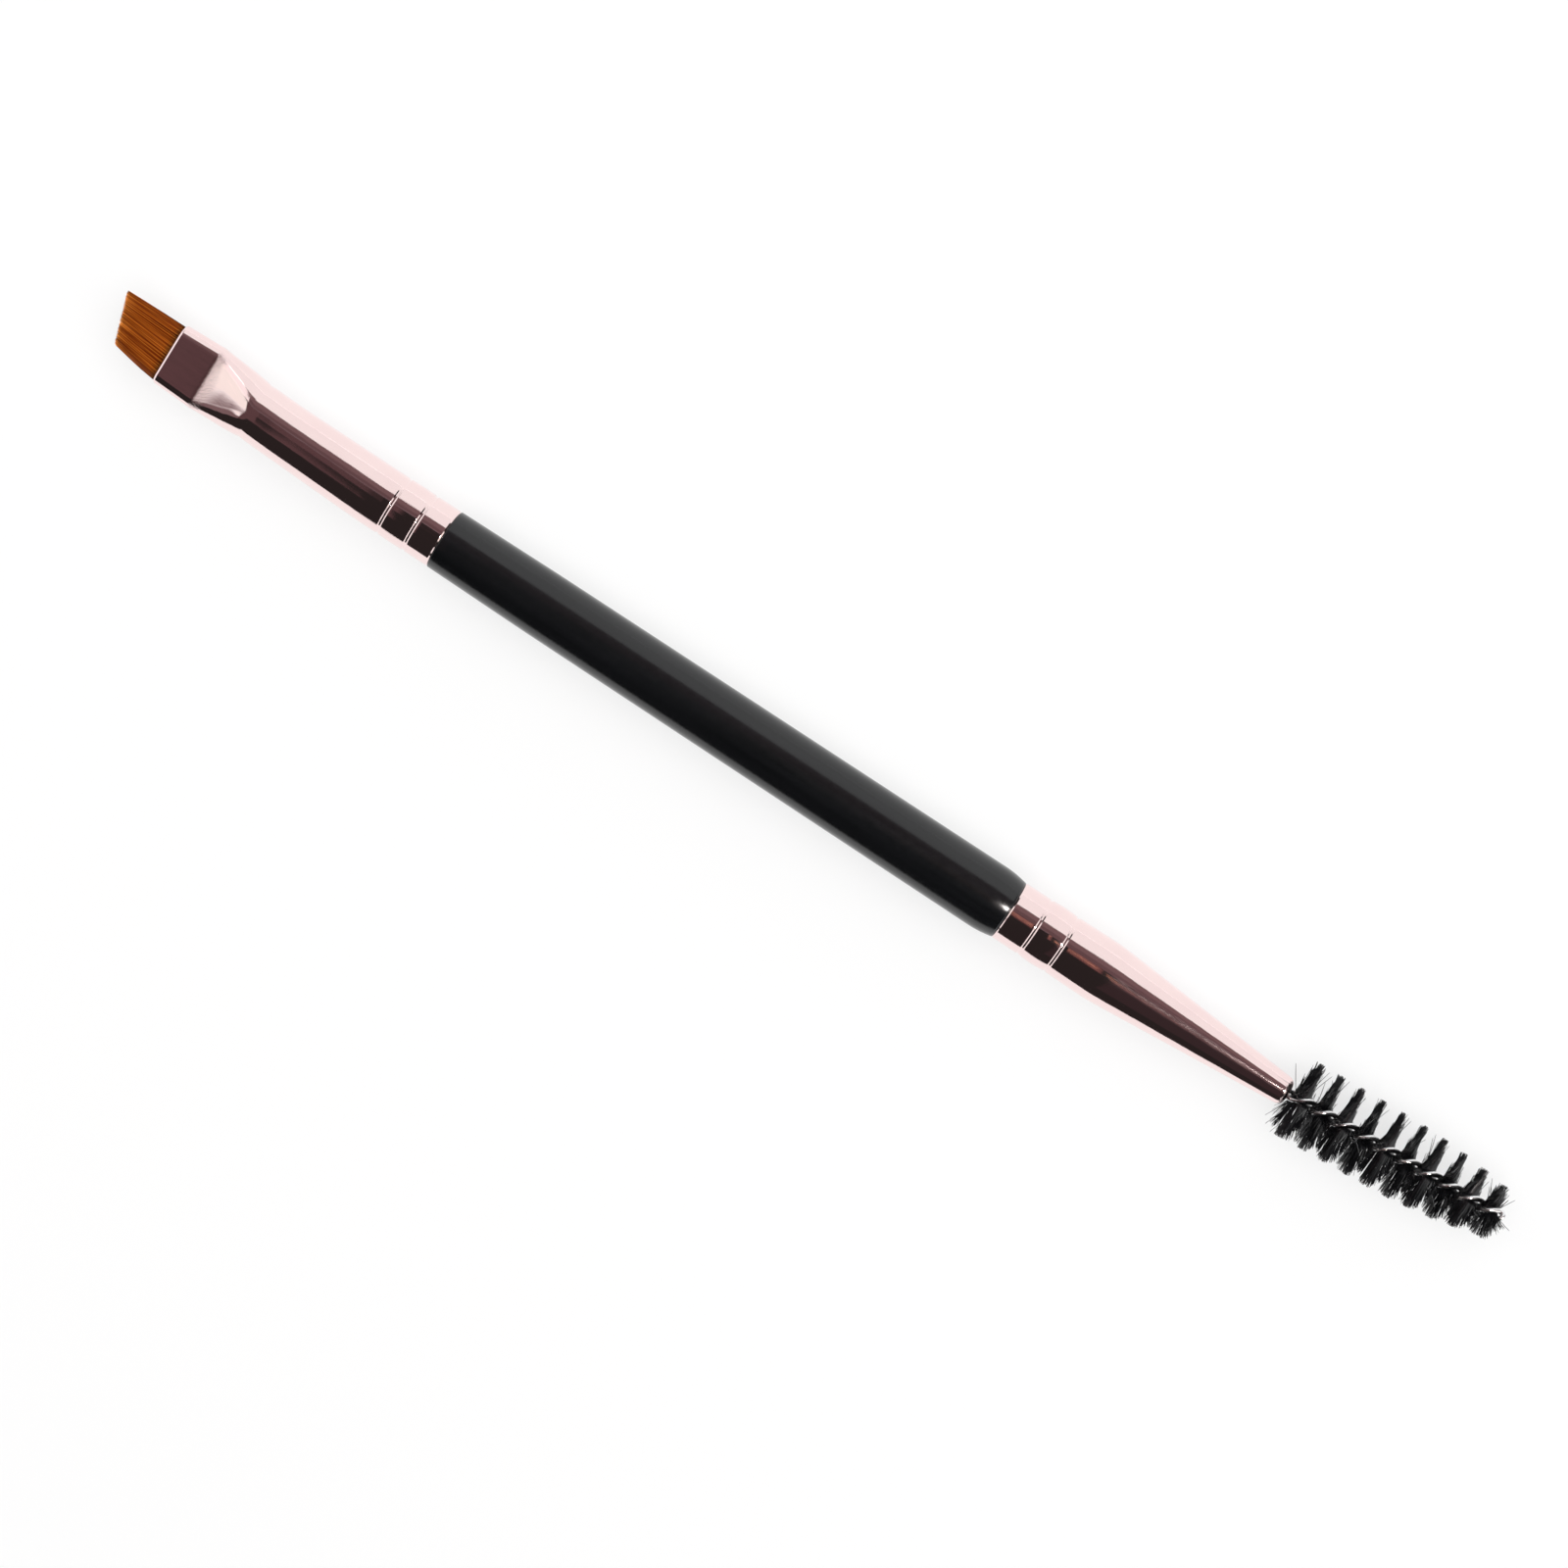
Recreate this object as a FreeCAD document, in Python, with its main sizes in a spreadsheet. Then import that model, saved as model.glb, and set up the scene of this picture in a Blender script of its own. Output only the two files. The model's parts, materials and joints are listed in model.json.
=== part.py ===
"""Double-ended eyebrow brush: a flat slanted tuft at one end, a spiral brush at the other.

The brush lies on its side along X, with a pressed face of the flat ferrule up.
Z = 0 is the table, X = 0 is half way along the brush, and the spiral brush is on the +X side.
All sizes are in millimetres and degrees.
"""
import FreeCAD
import Part
import Sketcher
import math
import os

from FreeCAD import Vector

doc = FreeCAD.newDocument("eyebrow_brush")
sheet = doc.addObject("Spreadsheet::Sheet", "Sizes")

SIZES = [
    # Turned wooden handle
    ("handle_length", 70.2, "between the two ferrules"),
    ("neck_radius", 3.37, "at the flat ferrule"),
    ("neck_length", 12.0, "taper from the neck to the waist"),
    ("waist_radius", 3.49, "slim stretch of the handle"),
    ("belly_radius", 3.62, "thickest place, near the round ferrule"),
    ("shoulder_length", 2.7, "rounding down to the round ferrule"),
    ("shoulder_radius", 3.31, "at the foot of that rounding"),
    ("tenon_length", 8.0, "wood inside each ferrule"),
    ("glue_line", 0.05, "between the wood or the wire and what holds it"),
    # Both drawn ferrules
    ("wall", 0.25, "sheet thickness"),
    ("groove_width", 0.44, "of each rolled groove"),
    ("groove_depth", 0.13, "of each rolled groove"),
    ("bulge", 0.08, "rise of the band between two grooves"),
    # Ferrule pressed flat at its mouth
    ("flat_ferrule_length", 34.4, "mouth to handle"),
    ("collar_radius", 3.36, "round end"),
    ("collar_length", 9.0, "straight stretch at the round end"),
    ("flat_groove_near", 3.0, "middle of the first groove, from the handle"),
    ("flat_groove_far", 6.25, "middle of the second groove, from the handle"),
    ("neckdown_radius", 3.17, "slimmest place of the tube"),
    ("neckdown_place", 14.2, "its distance from the mouth"),
    ("neckdown_shift", 0.2, "sideways shift there"),
    ("facet_end", 10.6, "mouth to the point of the sloping facet"),
    ("facet_radius", 3.24, "of the tube there"),
    ("flat_length", 4.7, "mouth to the start of the sloping facet"),
    ("flat_thickness", 2.6, "over the two pressed faces"),
    ("spread_width", 7.36, "widest place, where the pressed faces start to slope"),
    ("mouth_width", 7.0, "at the mouth"),
    ("mouth_shift", 0.48, "sideways shift of the pressed stretch"),
    ("seam", 0.02, "flat left on the round sections of the drawn tube"),
    # Slanted tuft
    ("tuft_length", 6.95, "long edge, beyond the mouth"),
    ("tuft_slant", 17.3, "of the cut, against square"),
    ("tuft_tip_width", 5.5, "at the end of the long edge"),
    ("tuft_tip_shift", 0.85, "sideways shift of the tip"),
    ("tuft_tip_thickness", 0.7, "of the tip"),
    ("tuft_root", 9.0, "hair inside the ferrule"),
    ("tuft_glue", 7.0, "length of the glue behind the hair"),
    # Round ferrule of the spiral brush
    ("round_ferrule_length", 34.8, "handle to mouth"),
    ("round_collar_radius", 3.34, "at the handle"),
    ("round_groove_near", 3.26, "middle of the first groove, from the handle"),
    ("round_groove_far", 6.57, "middle of the second groove, from the handle"),
    ("cone_start", 11.8, "from the handle"),
    ("cone_radius", 3.42, "at the start of the cone"),
    ("lip_radius", 1.6, "at the end of the cone, where the lip is rolled in"),
    ("mouth_radius", 0.8, "hole in the rolled lip"),
    ("glue_recess", 2.0, "glue below the mouth"),
    ("glue_behind", 3.0, "glue beyond the end of the wire"),
    # Spiral brush: a twisted hairpin of wire, with hair caught between its legs
    ("lean", 3.3, "of the spiral brush to the side"),
    ("twist_pitch", 5.02, "one full turn, left-handed"),
    ("wire_radius", 0.3, "soft steel wire"),
    ("wire_gap", 0.06, "between the two legs"),
    ("stem_length", 14.0, "wire inside the ferrule"),
    ("wire_length", 25.5, "mouth to the start of the hairpin bend"),
    ("hair_start", 0.3, "from the mouth"),
    ("hair_end", 25.3, "from the mouth"),
    ("first_row", 1.48, "from the mouth to the first row that points sideways"),
    ("first_row_dip", 11.5, "how far that row points below sideways"),
    ("hair_radius", 4.46, "tips of the hair at the mouth"),
    ("hair_shoulder", 4.33, "tips where the taper starts"),
    ("taper_start", 11.5, "from the mouth"),
    ("hair_tip_radius", 2.75, "tips at the end of the taper"),
    ("tip_rounding", 1.0, "radius of the blunt end"),
    ("row_thickness", 0.62, "of a row of hair at its tips, along the axis"),
    ("row_body_radius", 1.5, "where a row has most of its thickness"),
    ("row_body_share", 0.8, "thickness there, as a share of that at the tips"),
    ("row_root", 0.05, "thickness of a row between the wires"),
]

for line, (alias, value, note) in enumerate(SIZES, start=1):
    sheet.set(f"A{line}", note)
    sheet.set(f"B{line}", str(value))
    sheet.setAlias(f"B{line}", alias)
doc.recompute()

# How finely the pressed, the rolled and the twisted pieces are divided
FLATS_PER_HALF_ROUND = 16
LIP_FOLDS = (0, 30, 60, 90)
STATIONS_PER_TURN_OF_HAIR = 28
STATIONS_PER_TURN_OF_WIRE = 8
STATIONS_PER_BEND = 6
SIDES_OF_WIRE = 6

# The axis of the brush, and the directions in which sections and bores face
ALONG = Vector(1, 0, 0)
UP = Vector(0, 0, 1)


def cell(alias):
    """Text that names a size of the sheet in an expression."""
    return f"Sizes.{alias}"


def number(text):
    """Value of an expression."""
    value = sheet.evalExpression(text)
    return float(getattr(value, "Value", value))


def size(alias):
    """Value of one size, for shapes that a formula works out."""
    return number(cell(alias))


# Stations along the brush, worked out from the lengths above
LENGTHS = ("tuft_length", "flat_ferrule_length", "handle_length", "round_ferrule_length", "wire_length")
LEG_OFFSET = f"({cell('wire_gap')} / 2 + {cell('wire_radius')})"
OVERALL = f"({' + '.join(cell(alias) for alias in LENGTHS)} + {LEG_OFFSET} + {cell('wire_radius')})"
FLAT_MOUTH = f"({cell('tuft_length')} - {OVERALL} / 2)"
HANDLE_START = f"({FLAT_MOUTH} + {cell('flat_ferrule_length')})"
HANDLE_END = f"({HANDLE_START} + {cell('handle_length')})"
ROUND_MOUTH = f"({HANDLE_END} + {cell('round_ferrule_length')})"

# The hair at the round mouth is the widest thing, so it holds the axis above the table
AXIS_HEIGHT = cell("hair_radius")

# Wider than any section of the brush, for blocks that only bound a stretch of it
REACH = f"(2 * {cell('hair_radius')})"


def feature(kind, name, links=None, **bound):
    """Document object with its links set and its sizes bound to expressions."""
    made = doc.addObject(kind, name)
    for key, value in (links or {}).items():
        setattr(made, key, value)
    for key, text in bound.items():
        made.setExpression(key, text)
    return made


def place(made, x="0", y="0", z="0", turn=None, axis=UP):
    """Binds the place of an object, and its turn about one axis, to expressions."""
    if turn:
        made.Placement = FreeCAD.Placement(Vector(), FreeCAD.Rotation(axis, number(turn)))
        made.setExpression("Placement.Rotation.Angle", turn)
    made.setExpression("Placement.Base.x", x)
    made.setExpression("Placement.Base.y", y)
    made.setExpression("Placement.Base.z", z)
    return made


def seat(piece, label, station, turn=None):
    """Names a finished piece and puts it at its station on the axis of the brush."""
    piece.Label = label
    return place(piece, x=station, z=AXIS_HEIGHT, turn=turn)


def new_body(name):
    body = doc.addObject("PartDesign::Body", name)
    doc.recompute()
    return body


def new_sketch(body, name):
    """Sketch on the body's own XY plane."""
    plane = next(o for o in body.Origin.OriginFeatures if o.Role == "XY_Plane")
    sketch = body.newObject("Sketcher::SketchObject", name)
    sketch.AttachmentSupport = [(plane, "")]
    sketch.MapMode = "FlatFace"
    return sketch


def hold(sketch, *constraint, by):
    """Adds a constraint whose value follows an expression."""
    held = Sketcher.Constraint(*constraint, number(by))
    sketch.setExpression(f"Constraints[{sketch.addConstraint(held)}]", by)


def outline(sketch, corners, arcs=None):
    """Closed outline run clockwise through corners; arcs maps a side to its outward radius."""
    arcs = arcs or {}
    points = [Vector(number(x), number(y), 0) for x, y in corners]
    starts = []
    ends = []
    for side, start in enumerate(points):
        end = points[(side + 1) % len(points)]
        if side not in arcs:
            geometry = sketch.addGeometry(Part.LineSegment(start, end))
            starts.append((geometry, 1))
            ends.append((geometry, 2))
            continue
        radius = number(arcs[side])
        chord = end - start
        inward = Vector(chord.y, -chord.x, 0).normalize()
        centre = (start + end) / 2 + inward * math.sqrt(max(radius ** 2 - chord.Length ** 2 / 4, 0))
        from_angle = math.atan2(end.y - centre.y, end.x - centre.x)
        to_angle = math.atan2(start.y - centre.y, start.x - centre.x)
        arc = Part.ArcOfCircle(Part.Circle(centre, UP, radius), from_angle, to_angle)
        geometry = sketch.addGeometry(arc)
        starts.append((geometry, 2))
        ends.append((geometry, 1))
        hold(sketch, "Radius", geometry, by=arcs[side])
    for side, (x, y) in enumerate(corners):
        corner = starts[side]
        sketch.addConstraint(Sketcher.Constraint("Coincident", *ends[side - 1], *corner))
        if x == "0":
            sketch.addConstraint(Sketcher.Constraint("PointOnObject", *corner, -2))
        else:
            hold(sketch, "DistanceX", -1, 1, *corner, by=x)
        if y == "0":
            sketch.addConstraint(Sketcher.Constraint("PointOnObject", *corner, -1))
        else:
            hold(sketch, "DistanceY", -1, 1, *corner, by=y)


def turn_profile(body, name, corners, arcs=None):
    """Turns an outline about the axis of the brush."""
    sketch = new_sketch(body, f"{name}_profile")
    outline(sketch, corners, arcs)
    turned = body.newObject("PartDesign::Revolution", f"{name}_turning")
    turned.Profile = sketch
    turned.ReferenceAxis = (sketch, ["H_Axis"])
    turned.Angle = 360
    return turned


def stretch(name, start, length):
    """Block that bounds a stretch of the brush."""
    made = feature("Part::Box", name, Length=length, Width=f"2 * {REACH}", Height=f"2 * {REACH}")
    return place(made, x=start, y=f"-{REACH}", z=f"-{REACH}")


def arc_radius(chord, rise):
    """Radius of an arc that rises by a little over its chord."""
    return f"(({chord} / 2)^2 + ({rise})^2) / (2 * {rise})"


def grooved_band(near, far, radius):
    """Corners of two rolled grooves and the band between them, and the radius of that band."""
    reach = f"{cell('groove_width')} / 2"
    floor = f"{radius} - {cell('groove_depth')}"
    corners = []
    for middle in (near, far):
        corners += [(f"{middle} - {reach}", radius), (middle, floor), (f"{middle} + {reach}", radius)]
    return corners, arc_radius(f"({far} - ({near}) - {cell('groove_width')})", cell("bulge"))


def make_handle():
    """Turned handle with a tenon at each end."""
    body = new_body("handle_body")
    tenon = cell("tenon_length")
    shoulder = cell("shoulder_length")
    flat_tenon = f"{cell('collar_radius')} - {cell('wall')} - {cell('glue_line')}"
    round_tenon = f"{cell('round_collar_radius')} - {cell('wall')} - {cell('glue_line')}"
    end = f"{tenon} + {cell('handle_length')}"
    corners = [
        ("0", "0"),
        ("0", flat_tenon),
        (tenon, flat_tenon),
        (tenon, cell("neck_radius")),
        (f"{tenon} + {cell('neck_length')}", cell("waist_radius")),
        (f"{end} - {shoulder}", cell("belly_radius")),
        (end, cell("shoulder_radius")),
        (end, round_tenon),
        (f"{end} + {tenon}", round_tenon),
        (f"{end} + {tenon}", "0"),
    ]
    drop = f"({cell('belly_radius')} - {cell('shoulder_radius')})"
    rounding = f"({shoulder}^2 + {drop}^2) / (2 * {drop})"
    turn_profile(body, "handle", corners, {5: rounding})
    return seat(body, "handle", f"{HANDLE_START} - {tenon}")


def folded_solid(name, rings):
    """Solid of flat three-sided faces through rings of points, closed by its two end rings."""
    faces = []
    for ring, ahead in zip(rings, rings[1:]):
        for k, corner in enumerate(ring):
            following = (k + 1) % len(ring)
            for far in ([ring[following], ahead[following]], [ahead[following], ahead[k]]):
                faces.append(Part.Face(Part.makePolygon([corner, *far, corner])))
    for ring in (rings[0], rings[-1]):
        faces.append(Part.Face(Part.makePolygon(ring + ring[:1])))
    skin = Part.makeCompound(faces)
    skin.sewShape()
    solid = Part.Solid(skin.Shells[0])
    if solid.Volume < 0:
        solid.reverse()
    made = doc.addObject("Part::Feature", name)
    made.Shape = solid.removeSplitter()
    return made


def long_round(along, height, width=0, shift=0):
    """Ring of points, square to the axis: two flats joined by half rounds of narrow flats."""
    radius = height / 2
    flat = max(width - height, size("seam"))
    quarter = math.pi / 2
    ring = []
    for middle, start in ((shift + flat / 2, -quarter), (shift - flat / 2, quarter)):
        for k in range(FLATS_PER_HALF_ROUND + 1):
            angle = start + math.pi * k / FLATS_PER_HALF_ROUND
            ring.append(Vector(along, middle + radius * math.cos(angle), radius * math.sin(angle)))
    return ring


def flat_skin(name, inset):
    """Flat ferrule's outer form, or the form of its bore where the inset is the sheet.

    Each stretch runs straight from one ring to the next, as sheet does where it is pressed,
    so the flats of the mouth run out into a sloping three-cornered facet on the round tube.
    """
    thinner = 2 * number(inset)
    thick = size("flat_thickness") - thinner
    shift = size("mouth_shift")
    neckdown_shift = size("neckdown_shift")
    rings = [
        long_round(0, thick, size("mouth_width") - thinner, shift),
        long_round(size("flat_length"), thick, size("spread_width") - thinner, shift),
        long_round(size("facet_end"), 2 * size("facet_radius") - thinner,
                   shift=(shift + neckdown_shift) / 2),
        long_round(size("neckdown_place"), 2 * size("neckdown_radius") - thinner, shift=neckdown_shift),
        long_round(size("flat_ferrule_length") - size("collar_length"),
                   2 * size("collar_radius") - thinner),
    ]
    drawn = folded_solid(f"{name}_drawn", rings)

    collar = new_body(f"{name}_collar")
    end = cell("flat_ferrule_length")
    start = f"({end} - {cell('collar_length')})"
    radius = f"{cell('collar_radius')} - {inset}"
    corners = [(start, "0"), (start, radius)]
    arcs = {}
    if inset == "0":
        near = f"({end} - {cell('flat_groove_far')})"
        far = f"({end} - {cell('flat_groove_near')})"
        grooves, band = grooved_band(near, far, radius)
        corners += grooves
        arcs = {4: band}
    corners += [(end, radius), (end, "0")]
    turn_profile(collar, f"{name}_ring", corners, arcs)
    return feature("Part::Fuse", name, {"Base": drawn, "Tool": collar, "Refine": True})


def make_flat_end():
    """Ferrule pressed flat at its mouth, the tuft that it grips and the glue behind the hair."""
    outer = flat_skin("flat_outer", "0")
    bore = flat_skin("flat_bore", cell("wall"))
    ferrule = feature("Part::Cut", "flat_shell", {"Base": outer, "Tool": bore, "Refine": True})

    root_zone = stretch("root_zone", "0", cell("tuft_root"))
    root = feature("Part::Common", "hair_root", {"Base": bore, "Tool": root_zone})
    gripped = 2 * size("wall")
    blade = folded_solid("tuft_blade", [
        long_round(-size("tuft_length"), size("tuft_tip_thickness"), size("tuft_tip_width"),
                   size("tuft_tip_shift")),
        long_round(0, size("flat_thickness") - gripped, size("mouth_width") - gripped,
                   size("mouth_shift")),
    ])
    whole = feature("Part::Fuse", "tuft_whole", {"Base": blade, "Tool": root, "Refine": True})

    # The cut runs through the end of the long edge, and its block starts a little above that edge
    length = cell("tuft_length")
    slant = cell("tuft_slant")
    above = f"(0.1 * {REACH})"
    edge = f"({cell('tuft_tip_shift')} + {cell('tuft_tip_width')} / 2)"
    block = feature("Part::Box", "slant_block", Length=REACH, Width=f"2 * {REACH}", Height=REACH)
    place(block, x=f"-{length} - {above} * sin({slant})", y=f"{edge} + {above} * cos({slant})",
          z=f"-{REACH} / 2", turn=f"180 + {slant}")
    tuft = feature("Part::Cut", "tuft_cut", {"Base": whole, "Tool": block})

    glue_zone = stretch("tuft_glue_zone", cell("tuft_root"), cell("tuft_glue"))
    glue = feature("Part::Common", "tuft_glue_plug", {"Base": bore, "Tool": glue_zone})
    return [
        seat(ferrule, "angled_ferrule", FLAT_MOUTH),
        seat(tuft, "angled_tuft", FLAT_MOUTH),
        seat(glue, "tuft_glue", FLAT_MOUTH),
    ]


def make_round_ferrule():
    """Long cone with a rolled-in lip, and the glue that holds the wire in it."""
    length = cell("round_ferrule_length")
    radius = cell("round_collar_radius")
    hole = cell("mouth_radius")
    curl = f"({cell('lip_radius')} - {hole})"
    grooves, band = grooved_band(cell("round_groove_near"), cell("round_groove_far"), radius)
    outer = new_body("round_outer")
    lip = [(f"{length} - {curl} * (1 - sin({a}))", f"{hole} + {curl} * cos({a})") for a in LIP_FOLDS]
    corners = [
        ("0", "0"),
        ("0", radius),
        *grooves,
        (cell("cone_start"), cell("cone_radius")),
        *lip,
        (length, "0"),
    ]
    turn_profile(outer, "round_outer", corners, {4: band})

    wall = size("wall")
    end = size("round_ferrule_length")
    bore = folded_solid("round_bore", [
        long_round(0, 2 * (size("round_collar_radius") - wall)),
        long_round(size("cone_start"), 2 * (size("cone_radius") - wall)),
        long_round(end - number(curl), 2 * (size("lip_radius") - wall)),
        long_round(end - wall, 2 * (size("mouth_radius") - size("seam"))),
    ])
    drill = feature("Part::Cylinder", "mouth_drill", Radius=hole, Height=curl)
    drill.Placement = FreeCAD.Placement(Vector(), FreeCAD.Rotation(Vector(0, 1, 0), 90))
    drill.setExpression("Placement.Base.x", f"{length} - {curl}")
    bored = feature("Part::Cut", "bored_shell", {"Base": outer, "Tool": bore})
    ferrule = feature("Part::Cut", "round_shell", {"Base": bored, "Tool": drill})

    stem = cell("stem_length")
    start = f"({length} - {stem} - {cell('glue_behind')})"
    zone = stretch("stem_glue_zone", start, f"({length} - {cell('glue_recess')} - {start})")
    plug = feature("Part::Common", "stem_glue_plug", {"Base": bore, "Tool": zone})
    # The hole leans with the wire, about the middle of the mouth
    stem_hole = feature("Part::Cylinder", "stem_hole", Height=stem,
                        Radius=f"{LEG_OFFSET} + {cell('wire_radius')} + {cell('glue_line')}")
    facing = FreeCAD.Rotation(UP, size("lean")) * FreeCAD.Rotation(Vector(0, 1, 0), 90)
    stem_hole.Placement = FreeCAD.Placement(Vector(), facing)
    leaning = feature("Part::Compound", "leaning_hole", {"Links": [stem_hole]})
    glue = feature("Part::Cut", "stem_glue_drilled", {"Base": plug, "Tool": leaning})
    place(leaning, x=f"{length} - {stem} * cos({cell('lean')})", y=f"-{stem} * sin({cell('lean')})")
    return [
        seat(ferrule, "spoolie_ferrule", HANDLE_END),
        seat(glue, "spoolie_glue", HANDLE_END),
    ]


def twisted(point):
    """Moves a point of the untwisted spiral brush to its place after the left-handed twist."""
    turns = (point.x - size("first_row")) / size("twist_pitch")
    angle = -360 * turns - size("first_row_dip")
    return FreeCAD.Rotation(ALONG, angle).multVec(point)


def make_wire():
    """Hairpin of soft wire: two legs side by side, joined by a half-round bend, then twisted."""
    offset = number(LEG_OFFSET)
    radius = size("wire_radius")
    start = -size("stem_length")
    end = size("wire_length")
    steps = round((end - start) / size("twist_pitch") * STATIONS_PER_TURN_OF_WIRE)
    leg = [start + (end - start) * k / steps for k in range(steps)]
    bend = [math.pi * k / STATIONS_PER_BEND for k in range(STATIONS_PER_BEND + 1)]
    # Middle of the wire and the direction from it that points away from the axis
    stations = [(Vector(x, 0, offset), UP) for x in leg]
    for angle in bend:
        outward = Vector(math.sin(angle), 0, math.cos(angle))
        stations.append((Vector(end, 0, 0) + outward * offset, outward))
    stations += [(Vector(x, 0, -offset), -UP) for x in reversed(leg)]
    sides = [math.tau * k / SIDES_OF_WIRE for k in range(SIDES_OF_WIRE)]
    across = Vector(0, 1, 0)
    rings = [
        [twisted(middle + (outward * math.cos(a) + across * math.sin(a)) * radius) for a in sides]
        for middle, outward in stations
    ]
    return seat(folded_solid("hairpin", rings), "spoolie_wire", ROUND_MOUTH, turn=cell("lean"))


def hair_reach(along):
    """Radius of the hair tips: nearly level, then a long round taper to a blunt end."""
    start = size("taper_start")
    end = size("hair_end") - size("tip_rounding")
    if along <= start:
        share = along / start
        return size("hair_radius") + (size("hair_shoulder") - size("hair_radius")) * share
    if along <= end:
        drop = size("hair_shoulder") - size("hair_tip_radius")
        sweep = ((end - start) ** 2 + drop ** 2) / (2 * drop)
        return size("hair_shoulder") - sweep + math.sqrt(sweep ** 2 - (along - start) ** 2)
    over = min((along - end) / size("tip_rounding"), 1)
    return size("hair_tip_radius") - size("tip_rounding") * (1 - math.sqrt(1 - over ** 2))


def make_hair():
    """Hair caught between the wires: one thin row across the axis, wound into a double screw."""
    start = size("hair_start")
    length = size("hair_end") - start
    steps = round(length / size("twist_pitch") * STATIONS_PER_TURN_OF_HAIR)
    # A thickness along the axis is a spread of angle in a section of the twisted row
    spread = math.pi * size("row_thickness") / size("twist_pitch")
    body_spread = spread * size("row_body_share")
    root = Vector(0, 0, size("row_root") / 2)
    rings = []
    for k in range(steps + 1):
        along = start + length * k / steps
        reach = hair_reach(along)
        tip = Vector(0, reach * math.cos(spread), reach * math.sin(spread))
        body_reach = size("row_body_radius")
        body = Vector(0, body_reach * math.cos(body_spread), body_reach * math.sin(body_spread))
        half = [tip, body, root, Vector(0, -body.y, body.z), Vector(0, -tip.y, tip.z)]
        flat = half + [-corner for corner in half]
        rings.append([twisted(Vector(along, 0, 0) + corner) for corner in flat])
    return seat(folded_solid("hair_rows", rings), "spoolie_bristles", ROUND_MOUTH, turn=cell("lean"))


pieces = [make_handle(), *make_flat_end(), *make_round_ferrule(), make_wire(), make_hair()]
doc.recompute()

for made in doc.Objects:
    if "Invalid" in made.State or "Error" in made.State:
        raise RuntimeError(f"{made.Label} failed: {made.State}")
for piece in pieces:
    if piece.Shape.isNull() or not piece.Shape.isValid():
        raise RuntimeError(f"{piece.Label} has no sound shape")

os.makedirs("parts", exist_ok=True)
for piece in pieces:
    piece.Shape.exportStep(f"parts/{piece.Label}.step")
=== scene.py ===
"""Looks of the double-ended eyebrow brush: turned handle, two drawn ferrules, tuft and spiral brush.

Lengths of the brush and the camera are in millimetres, and those of the floor and the lamps in metres
like the frame. Along the brush a piece is measured from its own end: the mouth of a ferrule, or where
the handle starts.
"""
import json
import math

import bmesh
import bpy
import numpy as np
from mathutils import Matrix, Vector


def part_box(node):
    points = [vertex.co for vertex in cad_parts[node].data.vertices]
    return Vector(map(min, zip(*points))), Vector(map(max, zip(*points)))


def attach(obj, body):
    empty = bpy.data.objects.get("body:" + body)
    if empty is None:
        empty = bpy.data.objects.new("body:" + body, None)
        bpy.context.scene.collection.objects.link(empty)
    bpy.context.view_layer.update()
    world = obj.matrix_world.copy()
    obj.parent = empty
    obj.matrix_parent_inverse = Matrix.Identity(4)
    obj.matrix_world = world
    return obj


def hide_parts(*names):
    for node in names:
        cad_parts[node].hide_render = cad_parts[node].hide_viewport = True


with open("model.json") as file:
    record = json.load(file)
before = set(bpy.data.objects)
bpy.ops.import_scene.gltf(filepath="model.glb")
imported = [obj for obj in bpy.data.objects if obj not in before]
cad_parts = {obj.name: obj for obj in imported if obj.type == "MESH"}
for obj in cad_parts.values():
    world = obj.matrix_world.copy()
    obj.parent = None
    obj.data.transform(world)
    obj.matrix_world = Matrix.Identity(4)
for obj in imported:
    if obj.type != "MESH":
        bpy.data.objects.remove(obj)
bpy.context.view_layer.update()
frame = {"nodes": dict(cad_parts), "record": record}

MM = 0.001

# Places taken from the frame, in millimetres
FLAT_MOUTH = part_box("angled_ferrule")[0].x / MM
HANDLE_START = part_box("angled_ferrule")[1].x / MM
HANDLE_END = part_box("spoolie_ferrule")[0].x / MM
ROUND_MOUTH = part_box("spoolie_ferrule")[1].x / MM
AXIS_HEIGHT = sum(corner.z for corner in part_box("handle")) / 2 / MM
FLAT_LENGTH = HANDLE_START - FLAT_MOUTH
HANDLE_LENGTH = HANDLE_END - HANDLE_START
ROUND_LENGTH = ROUND_MOUTH - HANDLE_END

# Handle
NECK_RADIUS = 3.37
WAIST_RADIUS = 3.49
NECK_LENGTH = 12.0
BELLY_RADIUS = 3.62
SHOULDER_LENGTH = 2.7
SHOULDER_RADIUS = 3.31
TENON_RADIUS = 3.06
TENON_LENGTH = 8.0

# Ferrules
WALL = 0.25
RIM_WIDTH = 0.2
RIM_DEPTH = 0.12
GROOVE_WIDTH = 0.46
GROOVE_DEPTH = 0.09
FLAT_BULGE = 0.03
ROUND_BULGE = 0.08
FLAT_GROOVES = (3.0, 6.25)
ROUND_GROOVES = (3.26, 6.57)
FLAT_COLLAR_RADIUS = 3.36
FLAT_COLLAR_LENGTH = 9.0
ROUND_COLLAR_RADIUS = 3.34
CONE_START = 11.8
CONE_RADIUS = 3.42
LIP_RADIUS = 1.6
HOLE_RADIUS = 0.8
# Pressed ferrule: distance from the mouth, half thickness, flat width and sideways shift
PRESSED = [
    (0.0, 1.30, 4.40, 0.48),
    (4.7, 1.30, 4.76, 0.48),
    (5.5, 1.535, 4.12, 0.46),
    (8.9, 2.71, 1.37, 0.38),
    (10.7, 3.20, 0.0, 0.34),
    (14.2, 3.19, 0.0, 0.20),
    (25.4, 3.36, 0.0, 0.0),
]
CREASE = PRESSED[1][0]
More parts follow.
